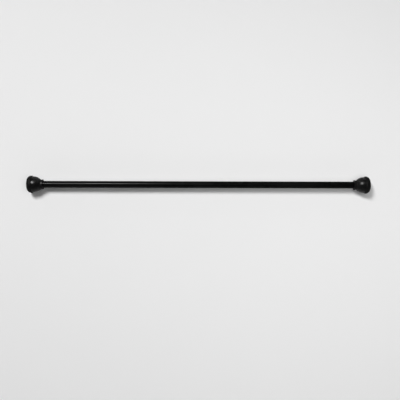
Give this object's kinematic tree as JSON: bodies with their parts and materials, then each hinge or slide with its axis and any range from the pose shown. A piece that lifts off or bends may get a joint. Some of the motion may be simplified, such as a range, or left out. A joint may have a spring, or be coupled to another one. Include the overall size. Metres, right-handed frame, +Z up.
{
  "type": "telescopic tension bar",
  "caption": "Black pressure-fit bar that telescopes, twist-locks and springs between two walls, with a bell-shaped cap and a rubber pad at each end.",
  "frame": {"origin": "centre of the left pad's wall face, on the bar's axis", "axes": "+X along the bar from the fixed end to the telescoping end, +Z up, +Y to the side"},
  "size_m": [1.27, 0.0644, 0.0644],
  "materials": {
    "tube_black": "satin powder coat",
    "bell_black": "satin moulded",
    "pad_rubber": "matte",
    "nylon_black": "moulded",
    "nylon_pale": "moulded",
    "zinc_steel": "bright zinc",
    "spring_steel": "oiled"
  },
  "bodies": {
    "outer_side": {"outer_tube": "tube_black", "mouth_bush": "nylon_black", "left_plug": "nylon_black", "plug_pin": "zinc_steel", "left_collar_bush": "nylon_black", "left_bell": "bell_black", "left_core": "nylon_black", "left_pad": "pad_rubber", "left_washer": "zinc_steel", "left_screw": "zinc_steel"},
    "guide_slider": {"guide_ring": "nylon_pale"},
    "inner_side": {"inner_tube": "tube_black", "lock_stub": "zinc_steel", "cam_washer": "zinc_steel", "cam_screw": "zinc_steel", "spring_seat": "nylon_pale", "seat_pin": "zinc_steel", "stop_pin": "zinc_steel", "end_bush": "nylon_black", "spring": "spring_steel"},
    "cam": {"cam_ring": "nylon_black", "cam_grip_ring_1": "pad_rubber", "cam_grip_ring_2": "pad_rubber"},
    "sprung_end": {"plunger": "nylon_black", "spring_washer": "zinc_steel", "right_collar_bush": "nylon_black", "right_bell": "bell_black", "right_core": "nylon_black", "right_pad": "pad_rubber", "right_washer": "zinc_steel", "right_screw": "zinc_steel"}
  },
  "joints": [
    {"name": "extend", "type": "slide", "parent": "outer_side", "child": "guide_slider", "axis": [1, 0, 0], "range_m": [0, 0.559]},
    {"name": "twist", "type": "hinge", "parent": "guide_slider", "child": "inner_side", "pos_m": [0.5533, 0, 0], "axis": [1, 0, 0], "range_deg": [-72, 72]},
    {"name": "cam_turn", "type": "hinge", "parent": "inner_side", "child": "cam", "pos_m": [0.5382, 0, -0.001], "axis": [1, 0, 0], "range_deg": [-72, 72]},
    {"name": "spring_press", "type": "slide", "parent": "inner_side", "child": "sprung_end", "axis": [1, 0, 0], "range_m": [-0.025, 0], "stiffness_N_per_m": 4000, "springref_m": 0.005, "deforming": ["spring"]}
  ],
  "couplings": [
    {"joint": "cam_turn", "follows": "twist", "ratio": -1}
  ]
}
